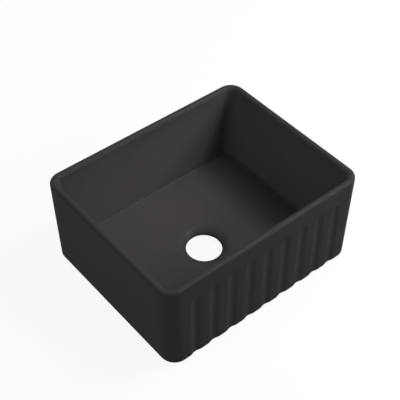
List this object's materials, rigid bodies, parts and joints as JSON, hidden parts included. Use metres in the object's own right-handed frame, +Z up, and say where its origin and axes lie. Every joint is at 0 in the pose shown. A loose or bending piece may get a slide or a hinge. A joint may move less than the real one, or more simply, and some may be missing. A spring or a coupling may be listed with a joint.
{
  "type": "farmhouse apron front sink",
  "caption": "Single-bowl farmhouse kitchen sink: one black glazed fireclay casting with a fluted apron front, a thin rounded rim and a round waste outlet in the floor.",
  "frame": {"origin": "middle of the footprint on the plane that the underside stands on", "axes": "+X along the apron towards its right-hand end seen from the front, +Y from the apron to the back, +Z up"},
  "size_m": [0.595, 0.474, 0.256],
  "materials": {
    "black_glaze": "matte"
  },
  "bodies": {
    "root": {"sink_body": "black_glaze"}
  },
  "joints": []
}
